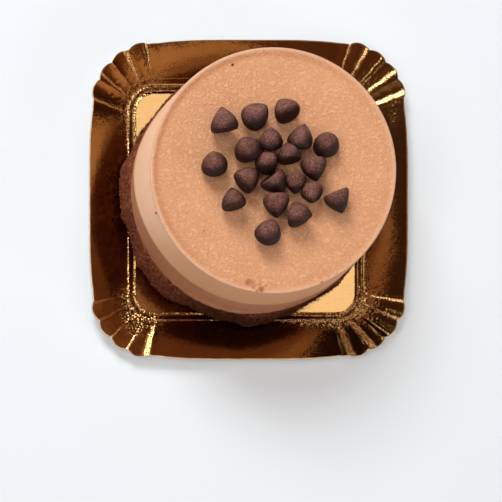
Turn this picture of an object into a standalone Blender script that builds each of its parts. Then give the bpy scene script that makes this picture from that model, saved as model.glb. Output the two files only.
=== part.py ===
"""A round chocolate mousse cake on a square gilt card tray, topped with chocolate drops.

The cake is a sponge base under a darker and a paler mousse. The two mousses meet along an
uneven line, which dips towards the back left. +Z is up, and the origin is under the middle
of the tray. The front, nearest the viewer, faces -Y.
"""

import bmesh
import bpy
from math import cos, exp, pi, radians, sin, tau
from mathutils import Matrix, Vector

MM = 0.001
GAP = 0.3 * MM  # left between pieces that touch

# Tray. Reaches are measured outwards from a square whose corners are the centres of the
# tray's rounded corners, so an outline with a longer reach has larger corner arcs.
CARD = 0.8 * MM  # thickness of the card
CORNER_CENTRE = 38.0 * MM  # from the middle, along X and along Y
GROOVE_INNER = 7.7 * MM
GROOVE_OUTER = 9.4 * MM
GROOVE_DEPTH = 0.35 * MM
FOLD_REACH = 11.3 * MM  # where the flat turns up into the rim
RIM_REACH = 27.2 * MM  # the rim's outer edge at the ends of the sides
RIM_RISE = 5.0 * MM
RIM_SWAY = 0.2  # how much higher the back of the rim stands, as a share of its rise
SIDE_BOW = 1.4 * MM  # how far the middle of a side bulges out
FLUTES = 4  # scallops at each corner
FLUTE_SWING = 18.0  # degrees of the corner's arc to each scallop
FLUTE_DEPTH = 1.5 * MM  # from a crease down to the trough between two creases
FLUTE_FADE = 9.0  # degrees over which the outermost creases sink back into the sides
SCALLOP = 1.3 * MM  # how far the edge of a trough stands out past its creases
SIDE_STEPS = 10
CORNER_STEPS = 36
RIM_SHARES = (0.33, 0.67, 1.0)  # rows of points from the fold out to the edge

# Cake
CAKE_CENTRE = Vector((-1.1 * MM, 0.9 * MM, 0))  # it stands a little off the tray's middle
CAKE_RADIUS = 50.0 * MM  # at the top
CAKE_HEIGHT = 45.0 * MM
CAKE_SLUMP = 1.5 * MM  # how much wider the mousse has settled by the time it meets the tray
SPONGE_HEIGHT = 17.0 * MM
SPONGE_OVERHANG = 0.7 * MM  # how far the sponge stands out past the mousse
CAKE_STEPS = 72
FLAT_SHARE = 0.4  # the mousses meet on the level inside this share of the radius
MEETING_SHARES = (1.0, 0.8, 0.6, FLAT_SHARE)  # rings of points on the line where they meet

CAKE_BASE = CARD + GAP
CAKE_TOP = CAKE_BASE + CAKE_HEIGHT
SPONGE_TOP = CAKE_BASE + SPONGE_HEIGHT

# The paler mousse's depth at the side, and the swells that take it lower:
# the angle round the cake, the swell's half-width in degrees, and its depth
PALE_DEPTH = 15.5 * MM
SWELLS = ((160, 33, 11.0 * MM), (312, 28, 4.5 * MM))

# The sponge's outline: waves round it, the angle of a crest in degrees, and the height
SPONGE_WAVES = ((7, 223, 1.0 * MM), (17, 40, 0.35 * MM), (31, 200, 0.25 * MM))

# The sponge's side from its top down: inset, height above its underside, share of the waves
SPONGE_SECTION = (
    (1.2 * MM, SPONGE_HEIGHT, 0.3),
    (0.2 * MM, SPONGE_HEIGHT * 0.93, 0.6),
    (0.3 * MM, SPONGE_HEIGHT * 0.5, 0.8),
    (0.0, SPONGE_HEIGHT * 0.24, 1.0),
    (1.2 * MM, SPONGE_HEIGHT * 0.08, 1.0),
    (4.8 * MM, 0.0, 0.4),
)

# A raised lip runs round the top: how far in from the side, and how far above the top
LIP = ((4.6 * MM, 0.0), (3.0 * MM, 0.15 * MM), (1.6 * MM, 0.5 * MM), (0.6 * MM, 0.4 * MM), (0.0, -0.5 * MM))

# Chocolate drops. The profile runs from the tip down to the flat base.
DROP_RADIUS = 5.3 * MM
DROP_HEIGHT = 9.2 * MM
DROP_BELLY = 3.2 * MM  # height of the point that a drop is placed and tilted about
DROP_PROFILE = ((0, 1), (0.22, 0.91), (0.58, 0.7), (0.89, 0.43), (1, 0.18), (0.86, 0), (0, 0))
DROP_STEPS = 12

# Where the drops lie: x and y of the belly from the cake's middle, in mm; how far the tip
# leans from upright, in degrees; the way it leans, in degrees from +X; size; lift in mm
DROPS = (
    (-21.3, 17.7, 82, 98, 1.05, 0),
    (-8.3, 20.7, 28, 38, 1.05, 0),
    (4.1, 23.4, 118, 110, 0.98, 0),
    (-2.2, 11.1, 50, 100, 0.9, 0),
    (9.8, 11.8, 50, 85, 0.96, 0),
    (20.4, 9.6, 22, 110, 0.99, 0),
    (-11.9, 7.4, 42, 135, 1.0, 0),
    (4.4, 4.4, 100, 95, 0.88, 3.5),
    (-3.3, 2.3, 20, 18, 0.9, 0),
    (15.1, 0.0, 90, -82, 0.97, 0),
    (-24.9, 1.6, 35, 107, 1.0, 0),
    (-11.7, -4.8, 90, 37, 1.0, 0),
    (-0.5, -5.8, 100, -50, 0.95, 0),
    (7.8, -5.8, 90, -95, 0.8, 0),
    (14.5, -10.5, 60, -95, 0.82, 0),
    (-17.3, -13.3, 95, 99, 0.93, 0),
    (-0.1, -14.8, 85, -90, 0.98, 0),
    (8.8, -19.4, 60, -12, 0.96, 0),
    (24.5, -12.9, 95, -68, 0.98, 0),
    (-3.0, -26.0, 30, 75, 1.0, 0),
)


def add_collection(name):
    """Make a collection in the scene."""
    collection = bpy.data.collections.new(name)
    bpy.context.scene.collection.children.link(collection)
    return collection


def make_material(name, colour, roughness, metallic=0.0):
    """Make a plain Principled material."""
    material = bpy.data.materials.new(name)
    material.use_nodes = True
    shader = material.node_tree.nodes["Principled BSDF"]
    shader.inputs["Base Color"].default_value = (*colour, 1)
    shader.inputs["Roughness"].default_value = roughness
    shader.inputs["Metallic"].default_value = metallic
    return material


def add_object(name, mesh, material, collection):
    """Put a mesh into the scene as a named object."""
    obj = bpy.data.objects.new(name, mesh)
    obj.data.materials.append(material)
    collection.objects.link(obj)
    return obj


def loft(name, rings):
    """Skin closed rings of equally many points, and close the first and the last with a flat cap."""
    shape = bmesh.new()
    rows = [[shape.verts.new(point) for point in ring] for ring in rings]
    count = len(rows[0])
    for upper, lower in zip(rows, rows[1:]):
        for here in range(count):
            after = (here + 1) % count
            shape.faces.new((upper[here], lower[here], lower[after], upper[after]))
    shape.faces.new(rows[0])
    shape.faces.new(reversed(rows[-1]))
    bmesh.ops.recalc_face_normals(shape, faces=shape.faces)
    mesh = bpy.data.meshes.new(name)
    shape.to_mesh(mesh)
    shape.free()
    mesh.shade_smooth()
    mesh.set_sharp_from_angle(angle=radians(40))
    return mesh


# --- Tray -----------------------------------------------------------------------------


def tray_stations():
    """Stations round the tray: the point that reaches start from, the way out, and the place.

    The place is how far along a side the station is, -1 to 1, and its swing in degrees from
    the diagonal of a corner. The one that doesn't apply is None.
    """
    for quarter in range(4):
        side = quarter * pi / 2
        middle = Vector((cos(side), sin(side), 0)) * CORNER_CENTRE
        across = Vector((-sin(side), cos(side), 0)) * CORNER_CENTRE
        for step in range(SIDE_STEPS):
            along = 2 * step / SIDE_STEPS - 1
            yield middle + across * along, Vector((cos(side), sin(side), 0)), along, None
        for step in range(CORNER_STEPS):
            turn = side + pi / 2 * step / CORNER_STEPS
            yield middle + across, Vector((cos(turn), sin(turn), 0)), None, 90 * step / CORNER_STEPS - 45


def trough(swing):
    """How far a corner's station is into a trough, 0 at a crease and 1 halfway between two."""
    if abs(swing) >= FLUTES / 2 * FLUTE_SWING:
        return 0.0
    return abs(sin(pi * swing / FLUTE_SWING)) ** 0.8


def flat_ring(reach, height):
    """A level outline of the tray."""
    return [start + out * reach + Vector((0, 0, height)) for start, out, _, _ in tray_stations()]


def rim_ring(share, height):
    """An outline part of the way up the rim, with its bowed sides and fluted corners."""
    ring = []
    for start, out, along, swing in tray_stations():
        reach = RIM_REACH
        lift = RIM_RISE * (1 + RIM_SWAY * out.y)
        if swing is None:
            reach += SIDE_BOW * (1 - along**4)
        else:
            reach += SCALLOP * trough(swing)
            fade = min(1, (45 - abs(swing)) / FLUTE_FADE)
            lift += FLUTE_DEPTH * (0.5 - trough(swing)) * fade
        reach = FOLD_REACH + (reach - FOLD_REACH) * share
        ring.append(start + out * reach + Vector((0, 0, height + lift * share)))
    return ring


def build_tray(collection):
    """The card tray: a flat floor inside a pressed groove, and a sloping rim."""
    gilt = make_material("gilt_card", (0.62, 0.36, 0.1), 0.25, 1.0)
    rings = [
        flat_ring(GROOVE_INNER, CARD),
        flat_ring((GROOVE_INNER + GROOVE_OUTER) / 2, CARD - GROOVE_DEPTH),
        flat_ring(GROOVE_OUTER, CARD),
        flat_ring(FOLD_REACH, CARD),
    ]
    rings += [rim_ring(share, CARD) for share in RIM_SHARES]
    rings += [rim_ring(share, 0) for share in reversed(RIM_SHARES)]
    rings.append(flat_ring(FOLD_REACH, 0))
    return add_object("tray", loft("tray", rings), gilt, collection)


# --- Cake -----------------------------------------------------------------------------


def side_radius(height):
    """The mousse's radius at a height: it has settled and grown a little wider below."""
    return CAKE_RADIUS + CAKE_SLUMP * (CAKE_TOP - height) / CAKE_HEIGHT


def marbling(angle, share):
    """The height at which the two mousses meet, at an angle in degrees and a share of the radius."""
    depth = 0.0
    for centre, width, swell in SWELLS:
        away = (angle - centre + 180) % 360 - 180
        depth += swell * exp(-((away / width) ** 2))
    slope = max(0, (share - FLAT_SHARE) / (1 - FLAT_SHARE)) ** 2
    return CAKE_TOP - PALE_DEPTH - depth * slope


def sponge_edge(angle):
    """How far the sponge's uneven side stands out past the mousse, at an angle in degrees."""
    waves = sum(height * cos(radians(count * (angle - crest))) for count, crest, height in SPONGE_WAVES)
    return SPONGE_OVERHANG + waves


def cake_ring(radius, height):
    """A ring about the cake's middle. Each of the two is a number, or a function of the angle."""
    ring = []
    for step in range(CAKE_STEPS):
        angle = 360 * step / CAKE_STEPS
        reach = radius(angle) if callable(radius) else radius
        level = height(angle) if callable(height) else height
        ring.append(CAKE_CENTRE + Vector((reach * cos(radians(angle)), reach * sin(radians(angle)), level)))
    return ring


def meeting_ring(share, drop=0.0):
    """A ring at a share of the radius, as far below the line where the mousses meet as the drop."""
    if share < 1:
        return cake_ring(CAKE_RADIUS * share, lambda angle: marbling(angle, share) - drop)
    return cake_ring(lambda angle: side_radius(marbling(angle, 1)), lambda angle: marbling(angle, 1) - drop)


def sponge_ring(inset, rise, share):
    """A ring of the sponge, inset from its side, with a share of the side's unevenness."""
    radius = side_radius(CAKE_BASE + rise) - inset
    return cake_ring(lambda angle: radius + share * sponge_edge(angle), CAKE_BASE + rise)


def build_upper_mousse(collection):
    """The paler mousse, with the lip round its top and an uneven underside."""
    pale = make_material("pale_mousse", (0.74, 0.38, 0.19), 0.6)
    middle = CAKE_TOP - PALE_DEPTH / 2
    rings = [cake_ring(CAKE_RADIUS - inset, CAKE_TOP + rise) for inset, rise in LIP]
    rings.append(cake_ring(side_radius(middle), middle))
    rings += [meeting_ring(share) for share in MEETING_SHARES]
    return add_object("upper_mousse", loft("upper_mousse", rings), pale, collection)


def build_lower_mousse(collection):
    """The darker mousse between the paler one and the sponge."""
    tan = make_material("tan_mousse", (0.36, 0.16, 0.08), 0.6)
    rings = [meeting_ring(share, GAP) for share in reversed(MEETING_SHARES)]
    rings.append(cake_ring(side_radius(SPONGE_TOP), SPONGE_TOP + GAP))
    return add_object("lower_mousse", loft("lower_mousse", rings), tan, collection)


def build_sponge(collection):
    """The crumbly sponge base, whose side is uneven and turns in under the cake."""
    crumb = make_material("sponge", (0.055, 0.022, 0.016), 0.9)
    rings = [sponge_ring(inset, rise, share) for inset, rise, share in SPONGE_SECTION]
    return add_object("sponge_base", loft("sponge_base", rings), crumb, collection)


# --- Chocolate drops ------------------------------------------------------------------


def turned_mesh(name, profile, steps):
    """Turn a profile of (radius, height) points about Z into a closed mesh."""
    points = [(radius, 0, height) for radius, height in profile]
    line = bpy.data.meshes.new(name + "_profile")
    line.from_pydata(points, [(index, index + 1) for index in range(len(points) - 1)], [])
    turned = bpy.data.objects.new(name + "_profile", line)
    bpy.context.scene.collection.objects.link(turned)
    screw = turned.modifiers.new("Turn", "SCREW")
    screw.angle = tau
    screw.steps = screw.render_steps = steps
    screw.use_merge_vertices = True
    screw.merge_threshold = 0.00001
    shape = turned.evaluated_get(bpy.context.evaluated_depsgraph_get())
    mesh = bpy.data.meshes.new_from_object(shape)
    mesh.name = name
    bpy.data.objects.remove(turned)
    bpy.data.meshes.remove(line)
    mesh.shade_smooth()
    mesh.set_sharp_from_angle(angle=radians(60))
    return mesh


def build_drops(collection):
    """The chocolate drops, each leaning its own way and let down onto the cake."""
    chocolate = make_material("chocolate", (0.06, 0.026, 0.021), 0.45)
    profile = [(DROP_RADIUS * across, DROP_HEIGHT * up - DROP_BELLY) for across, up in DROP_PROFILE]
    mesh = turned_mesh("drop", profile, DROP_STEPS)
    drops = []
    for number, (x, y, lean, heading, size, lift) in enumerate(DROPS, start=1):
        drop = add_object(f"drop_{number:02d}", mesh.copy(), chocolate, collection)
        pose = Matrix.Rotation(radians(heading), 4, "Z") @ Matrix.Rotation(radians(lean), 4, "Y")
        pose @= Matrix.Scale(size, 4)
        lowest = min((pose @ vertex.co).z for vertex in mesh.vertices)
        height = CAKE_TOP + GAP + lift * MM - lowest
        drop.matrix_world = Matrix.Translation(CAKE_CENTRE + Vector((x * MM, y * MM, height))) @ pose
        drops.append(drop)
    return drops


def main():
    """Clear the scene and build the cake on its tray."""
    for obj in list(bpy.data.objects):
        bpy.data.objects.remove(obj)
    cake = add_collection("chocolate_mousse_cake")
    build_tray(cake)
    build_sponge(cake)
    build_lower_mousse(cake)
    build_upper_mousse(cake)
    build_drops(cake)


main()
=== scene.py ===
"""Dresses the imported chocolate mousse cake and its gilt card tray.

The tray and every piece of food are built again, finer, in the space of their CAD solids, with
their own finishes. Everything is in metres, +Z up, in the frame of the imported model.
"""

from __future__ import annotations

import logging
from dataclasses import dataclass, field
from enum import Enum
from functools import partialmethod
from typing import Any, ClassVar, Sequence

import bpy
import numpy as np
from mathutils import Euler, Matrix, Vector


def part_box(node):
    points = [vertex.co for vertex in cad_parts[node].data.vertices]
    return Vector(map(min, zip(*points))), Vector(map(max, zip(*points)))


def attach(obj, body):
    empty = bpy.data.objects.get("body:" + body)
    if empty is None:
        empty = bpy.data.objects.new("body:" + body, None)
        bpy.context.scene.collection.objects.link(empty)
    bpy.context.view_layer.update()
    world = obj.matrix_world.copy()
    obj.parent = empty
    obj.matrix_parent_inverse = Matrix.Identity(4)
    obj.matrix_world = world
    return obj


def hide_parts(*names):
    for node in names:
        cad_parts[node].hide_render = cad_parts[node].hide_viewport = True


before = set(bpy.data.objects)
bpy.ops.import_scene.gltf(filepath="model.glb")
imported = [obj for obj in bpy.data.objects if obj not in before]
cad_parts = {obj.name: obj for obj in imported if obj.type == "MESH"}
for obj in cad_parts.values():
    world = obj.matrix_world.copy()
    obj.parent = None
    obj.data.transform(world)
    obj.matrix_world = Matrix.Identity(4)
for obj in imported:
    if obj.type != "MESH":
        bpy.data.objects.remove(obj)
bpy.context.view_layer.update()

MM = 0.001
BODY = "root"
LOG = logging.getLogger("mousse_cake")

Finish = bpy.types.Material
Mesh = bpy.types.Mesh
Node = bpy.types.Node
Piece = bpy.types.Object
Socket = bpy.types.NodeSocket
Pair = tuple[float, float]
Triple = tuple[float, float, float]
Colour = Triple
Numbers = np.ndarray | float
Waves = tuple[float, int]  # a wavelength and a seed
Steps = tuple[tuple[float, int], ...]  # numbers, and how many even steps lead up to each


# --- Nodes ------------------------------------------------------------------------------


class Value:
    """A number on a node's socket, on which Python's operators add Math nodes."""

    def __init__(self, maker: NodeMaker, socket: Socket) -> None:
        """Wrap a socket of the maker's tree."""
        self.maker = maker
        self.socket = socket

    def math(self, operation: str, other: Any = 0.0, swapped: bool = False) -> Value:
        """Add a Math node.

        Args:
            operation: The node's operation.
            other: The other operand, a number or a Value.
            swapped: Whether the other operand comes first.

        Returns:
            The node's result.
        """
        first, second = (other, self) if swapped else (self, other)
        return self.maker.value("ShaderNodeMath", {0: first, 1: second}, operation=operation)

    __add__ = __radd__ = partialmethod(math, "ADD")
    __sub__ = partialmethod(math, "SUBTRACT")
    __rsub__ = partialmethod(math, "SUBTRACT", swapped=True)
    __mul__ = __rmul__ = partialmethod(math, "MULTIPLY")
    __truediv__ = partialmethod(math, "DIVIDE")
    __rtruediv__ = partialmethod(math, "DIVIDE", swapped=True)

    def eased(self, low: float, high: float) -> Value:
        """Ease from 0 at low to 1 at high."""
        sockets = {0: self, 1: low, 2: high}
        return self.maker.value("ShaderNodeMapRange", sockets, interpolation_type="SMOOTHSTEP")


class NodeMaker:
    """Adds nodes to one shader or geometry tree."""

    def __init__(self, tree: NodeTree) -> None:
        """Work on a tree."""
        self.tree = tree

    def add(self, kind: str, sockets: dict | None = None, **settings: Any) -> Node:
        """Add a node.

        Args:
            kind: The node's type name.
            sockets: Input name or number to a number, a tuple, a Value or another socket.
            **settings: Its properties, which are set before its inputs.

        Returns:
            The node.
        """
        node = self.tree.nodes.new(kind)
        for name, setting in settings.items():
            setattr(node, name, setting)
        for name, value in (sockets or {}).items():
            self.feed(node.inputs[name], value)
        return node

    def feed(self, socket: Socket, value: Any) -> None:
        """Link or set an input socket.

        Args:
            socket: The input.
            value: A Value, another socket, or a constant.
        """
        if isinstance(value, Value):
            value = value.socket
        if isinstance(value, Socket):
            self.tree.links.new(value, socket)
        else:
            socket.default_value = (*value, 1.0) if socket.type == "RGBA" else value

    def value(self, kind: str, sockets: dict, out: int | str = 0, **settings: Any) -> Value:
        """Add a node and return one of its outputs as a Value."""
        return Value(self, self.add(kind, sockets, **settings).outputs[out])

    def vector(self, operation: str, first: Any, second: Any = None) -> Socket:
        """Add a Vector Math node.

        Args:
            operation: The node's operation.
            first: The first operand.
            second: The second operand, or the factor of a SCALE.

        Returns:
            The result.
        """
        sockets = {0: first}
        if second is not None:
            sockets["Scale" if operation == "SCALE" else 1] = second
        node = self.add("ShaderNodeVectorMath", sockets, operation=operation)
        return node.outputs["Value" if operation in ("LENGTH", "DOT_PRODUCT") else "Vector"]

    def blend(self, share: Any, first: Any, second: Any, mode: str = "MIX") -> Socket:
        """Blend two colours.

        Args:
            share: How much of the second, a number or a Value.
            first: A colour or a socket.
            second: A colour or a socket.
            mode: The Mix node's blend type.

        Returns:
            The blended colour.
        """
        sockets = {0: share, 6: first, 7: second}
        return self.add("ShaderNodeMix", sockets, data_type="RGBA", blend_type=mode).outputs[2]


class ShaderMaker(NodeMaker):
    """Adds the nodes of one material."""

    def __init__(self, name: str) -> None:
        """Start a material with one Principled shader.

        Args:
            name: The material's name.
        """
        self.material = bpy.data.materials.new(name)
        self.material.use_nodes = True
        super().__init__(self.material.node_tree)
        self.shader = self.tree.nodes["Principled BSDF"]
        self.place = self.add("ShaderNodeTexCoord").outputs["Object"]

    def noise(self, size: float, detail: float = 2.0, rough: float = 0.5,
              stretch: Triple | None = None) -> Value:
        """Add a noise pattern.

        Args:
            size: The size of its blotches, in metres.
            detail: How many finer octaves it has.
            rough: The share of the finer octaves.
            stretch: A scale along each axis, if it is not even.

        Returns:
            The pattern, about 0 to 1.
        """
        place = self.place
        if stretch is not None:
            place = self.add("ShaderNodeMapping", {"Vector": place, "Scale": stretch}).outputs["Vector"]
        sockets = {"Vector": place, "Scale": 1.0 / size, "Detail": detail, "Roughness": rough}
        return self.value("ShaderNodeTexNoise", sockets)

    def cells(self, size: float, out: str = "Distance") -> Value:
        """Add a pattern of cells of a size in metres, and return one of its outputs."""
        return self.value("ShaderNodeTexVoronoi", {"Vector": self.place, "Scale": 1.0 / size}, out)

    def mark(self, name: str) -> Value:
        """Read a number that the mesh carries at each point."""
        return self.value("ShaderNodeAttribute", {}, "Fac", attribute_name=name)

    def ramp(self, value: Value, stops: Sequence[tuple[float, Colour]]) -> Socket:
        """Turn a number into a colour.

        Args:
            value: The number.
            stops: Pairs of a position and its colour, in order.

        Returns:
            The colour.
        """
        node = self.add("ShaderNodeValToRGB", {"Fac": value})
        elements = node.color_ramp.elements
        while len(elements) < len(stops):
            elements.new(0.5)
        for element, (position, colour) in zip(elements, stops):
            element.position = position
            element.color = (*colour, 1.0)
        return node.outputs["Color"]

    def bump(self, height: Value, depth: float, under: Any = None) -> Socket:
        """Add a bump.

        Args:
            height: The relief, about 0 to 1.
            depth: The relief's depth in metres.
            under: The normal of a coarser bump below it.

        Returns:
            The new normal.
        """
        sockets = {"Height": height, "Distance": depth}
        if under is not None:
            sockets["Normal"] = under
        return self.add("ShaderNodeBump", sockets).outputs["Normal"]

    def facets(self, normal: Any, size: float, tilt: Any) -> Socket:
        """Break a surface into small flakes that each face their own way.

        Args:
            normal: The surface's normal.
            size: The flakes' size in metres.
            tilt: How far they tilt, a number or a Value.

        Returns:
            The new normal.
        """
        way = self.vector("SUBTRACT", self.cells(size, "Color"), (0.5, 0.5, 0.5))
        return self.vector("NORMALIZE", self.vector("ADD", normal, self.vector("SCALE", way, tilt)))

    def finish(self, **sockets: Any) -> Finish:
        """Feed the Principled shader.

        Args:
            **sockets: Its inputs by name, with _ for a space.

        Returns:
            The finished material.
        """
        for name, value in sockets.items():
            self.feed(self.shader.inputs[name.replace("_", " ").title().replace("Ior", "IOR")], value)
        return self.material


# --- Finishes ---------------------------------------------------------------------------


@dataclass(frozen=True)
class GiltFoil:
    """Bright gold foil on card, with a fine grain, crinkled where its marks say so, and painted paler where
    they say so: a painted brighter reflection on the floor and painted highlights on the pleats and
    crinkles.
    """

    gold: Colour = (0.330, 0.180, 0.064)
    deep_gold: Colour = (0.300, 0.158, 0.052)
    # Paler gold where the pale mark says: a painted brighter reflection on the floor, painted highlights on
    # the pleats and crinkles.
    painted_highlight_gold: Colour = (0.560, 0.330, 0.130)
    painted_highlight_gold_shade: Colour = (0.4592, 0.2706, 0.1066)
    roughness: float = 0.085
    flake: float = 0.32 * MM
    # Fine teeth along the pressed pleats: radians for each mm, and how far they sway.
    tooth_turn: float = 2 * np.pi / 1.05
    tooth_sway: float = 9.0

    def material(self) -> Finish:
        """Build the material.

        Returns:
            The material.
        """
        make = ShaderMaker("gilt_foil")
        crinkle, pressed = make.mark("crinkle"), make.mark("teeth")
        grain = make.noise(0.55 * MM, 2.0, 0.6)
        speckle = (grain - 0.5) * 1.2 + 0.5
        colour = make.blend(make.noise(9 * MM, 3.0).eased(0.35, 0.7), self.gold, self.deep_gold)
        colour = make.blend(speckle, self.deep_gold, colour)
        # Painted reflection and highlights: paler gold on the floor, the pleats and the crinkles.
        pale = make.blend(speckle, self.painted_highlight_gold_shade, self.painted_highlight_gold)
        colour = make.blend(make.mark("pale"), colour, pale)
        normal = make.bump(make.noise(4.0 * MM), 0.05 * MM)
        normal = make.bump(grain, 0.012 * MM, normal)
        normal = make.bump(make.noise(0.5 * MM, 2.0, 0.7) * crinkle, 0.04 * MM, normal)
        sway = make.noise(1.1 * MM, 2.0, 0.6) * self.tooth_sway
        teeth = (make.mark("along") * self.tooth_turn + sway).math("SINE")
        normal = make.bump(teeth * pressed, 0.020 * MM, normal)
        normal = make.facets(normal, self.flake, crinkle + 0.05)
        rough = self.roughness + 0.06 * make.noise(2.2 * MM, 3.0, 0.6) + 0.10 * pressed
        return make.finish(base_color=colour, roughness=rough, metallic=1.0, normal=normal)


@dataclass(frozen=True)
class BareCard:
    """Pale unprinted card, seen at the cut edge and underneath."""

    light: Colour = (0.78, 0.66, 0.58)
    dark: Colour = (0.62, 0.50, 0.42)

    def material(self) -> Finish:
        """Build the material.

        Returns:
            The material.
        """
        make = ShaderMaker("bare_card")
        fibres = make.noise(0.5 * MM, 4.0, 0.7, (1.0, 0.3, 1.0))
        tone = fibres * 0.6 + make.noise(12 * MM) * 0.4
        colour = make.blend(tone.eased(0.35, 0.65), self.dark, self.light)
        normal = make.bump(fibres, 0.03 * MM)
        return make.finish(base_color=colour, roughness=0.75 + 0.15 * fibres, normal=normal)


@dataclass(frozen=True)
class Mousse:
    """Chocolate mousse: pitted on top, paler down the side, and darker in its lower layer, with painted
    shade in the trough inside the lip and on one side, and a painted highlight along the lip.
    """

    top_light: Colour = (0.89, 0.470, 0.258)
    top_dark: Colour = (0.72, 0.345, 0.165)
    # Painted shade in the shallow trough inside the lip.
    moat: Colour = (0.60, 0.25, 0.10)
    # Painted highlight along the crest of the raised lip.
    lip: Colour = (0.86, 0.53, 0.34)
    side: Colour = (0.90, 0.505, 0.305)
    side_light: Colour = (0.93, 0.550, 0.340)
    # Painted shade, darker and warmer, on the side away from the light.
    side_painted_shade: Colour = (0.64, 0.310, 0.145)
    tan: Colour = (0.38, 0.140, 0.060)
    tan_light: Colour = (0.46, 0.185, 0.085)
    scar: Colour = (0.42, 0.150, 0.062)
    milkiness: float = 0.12
    relief: float = 0.80 * MM

    def material(self) -> Finish:
        """Build the material.

        Returns:
            The material.
        """
        make = ShaderMaker("mousse")
        side = make.mark("side")
        waves = make.noise(1.9 * MM, 3.0, 0.6, (1.0, 1.25, 1.0)) - 0.5
        crinkles = make.noise(0.9 * MM, 3.0, 0.55) * 0.6 + waves.math("ABSOLUTE").eased(0.0, 0.16) * 0.4
        grain = make.noise(0.42 * MM, 2.0, 0.6)
        clouds = make.noise(16 * MM)
        texture = crinkles * 0.42 + grain * 0.40 + clouds * 0.18
        top = make.blend(texture.eased(0.36, 0.60), self.top_dark, self.top_light)
        # Painted shade in the trough inside the lip.
        top = make.blend(make.mark("moat"), top, self.moat)
        # Painted highlight along the lip's crest.
        top = make.blend(make.mark("lip"), top, self.lip)
        streaks = make.noise(3.0 * MM, 3.0, 0.6, (1.0, 1.0, 0.25))
        wall = make.blend((streaks * 0.8 + grain * 0.2).eased(0.25, 0.75), self.side, self.side_light)
        # Painted shade: the side turns darker and warmer towards one direction.
        wall = make.blend(make.mark("warm"), wall, self.side_painted_shade)
        low = make.blend((streaks * 0.7 + clouds * 0.3).eased(0.3, 0.7), self.tan, self.tan_light)
        colour = make.blend(make.mark("tan"), make.blend(side, top, wall), low)
        colour = make.blend(make.mark("scar"), colour, self.scar)
        pits = make.cells(1.7 * MM).eased(0.05, 0.22)
        height = (crinkles * 0.62 + grain * 0.22 + pits * 0.16) * (1.0 - side * 0.72)
        return make.finish(base_color=colour, roughness=0.62 - 0.16 * side + 0.08 * grain,
                           normal=make.bump(height, self.relief), subsurface_weight=self.milkiness,
                           subsurface_radius=(1.0, 0.5, 0.3), subsurface_scale=1.2 * MM)


@dataclass(frozen=True)
class Sponge:
    """Dark, crumbly chocolate sponge with open pores, almost without shine."""

    dark: Colour = (0.075, 0.016, 0.0065)
    middle: Colour = (0.200, 0.055, 0.024)
    light: Colour = (0.380, 0.135, 0.068)
    # Painted shadow, almost black, on the side beneath the mousse.
    soaked: Colour = (0.028, 0.006, 0.002)
    shine: float = 0.12

    def material(self) -> Finish:
        """Build the material.

        Returns:
            The material.
        """
        make = ShaderMaker("sponge")
        crumbs = make.noise(1.6 * MM, 4.0, 0.65)
        grain = make.noise(0.5 * MM, 3.0, 0.7)
        stops = ((0.34, self.dark), (0.5, self.middle), (0.68, self.light))
        pores = make.cells(1.3 * MM).eased(0.1, 0.45)
        colour = make.blend(pores, self.dark, make.ramp(crumbs * 0.6 + grain * 0.4, stops))
        # Painted shadow on one side of the sponge.
        colour = make.blend(make.mark("soaked"), colour, self.soaked)
        normal = make.bump(crumbs * 0.5 + grain * 0.3 + pores * 0.4, 0.5 * MM)
        return make.finish(base_color=colour, roughness=0.82 + 0.12 * grain, normal=normal,
                           specular_ior_level=self.shine)


@dataclass(frozen=True)
class DarkChocolate:
    """Dark chocolate with a satin skin, flecked with pale bloom, and painted lighter on the side that faces
    the light.
    """

    dark: Colour = (0.018, 0.004, 0.003)
    middle: Colour = (0.070, 0.020, 0.014)
    bloom: Colour = (0.330, 0.138, 0.100)
    shine: float = 0.3

    def material(self) -> Finish:
        """Build the material.

        Returns:
            The material.
        """
        make = ShaderMaker("dark_chocolate")
        clouds = make.noise(3.2 * MM, 3.0, 0.55)
        dust = make.noise(0.50 * MM, 4.0, 0.7)
        # Painted light and shade: each drop is painted lighter, with more bloom, on the side towards the
        # light, and darker away from it.
        dusty = make.mark("dusty")
        colour = make.blend((clouds * 0.4 + dusty * 0.6).eased(0.25, 0.85), self.dark, self.middle)
        specks = clouds * 0.15 + dust * 0.70 + dusty * 0.15
        colour = make.blend(specks.eased(0.48, 0.70), colour, self.bloom)
        normal = make.bump(dust * 0.7 + clouds * 0.3, 0.28 * MM)
        return make.finish(base_color=colour, roughness=0.40 + 0.22 * dust, normal=normal,
                           specular_ior_level=self.shine)


@dataclass(frozen=True)
class Tabletop:
    """The plain pale table, very slightly mottled, with a painted glow that is faint near the cake and
    brighter far from it.
    """

    light: Colour = (0.795, 0.880, 0.935)
    dark: Colour = (0.785, 0.870, 0.925)
    # Painted glow: the table emits light, faintly near the cake and more brightly far away.
    glow: Colour = (0.070, 0.070, 0.070)
    far_painted_glow: Colour = (0.660, 0.670, 0.690)
    near: float = 0.45
    far: float = 1.6

    def material(self) -> Finish:
        """Build the material.

        Returns:
            The material.
        """
        make = ShaderMaker("tabletop")
        clouds = make.noise(60 * MM, 3.0)
        away = Value(make, make.vector("LENGTH", make.place)).eased(self.near, self.far)
        return make.finish(base_color=make.blend(clouds.eased(0.3, 0.7), self.dark, self.light),
                           roughness=0.7 + 0.1 * clouds, emission_strength=1.0,
                           emission_color=make.blend(away, self.glow, self.far_painted_glow))


# --- Geometry nodes ---------------------------------------------------------------------


class Store(Enum):
    """Where a node tree's socket stands."""

    IN = "INPUT"
    OUT = "OUTPUT"


class Kind(Enum):
    """What a node tree's socket carries."""

    SHAPE = "NodeSocketGeometry"
    NUMBER = "NodeSocketFloat"
    COUNT = "NodeSocketInt"
    FINISH = "NodeSocketMaterial"


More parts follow.
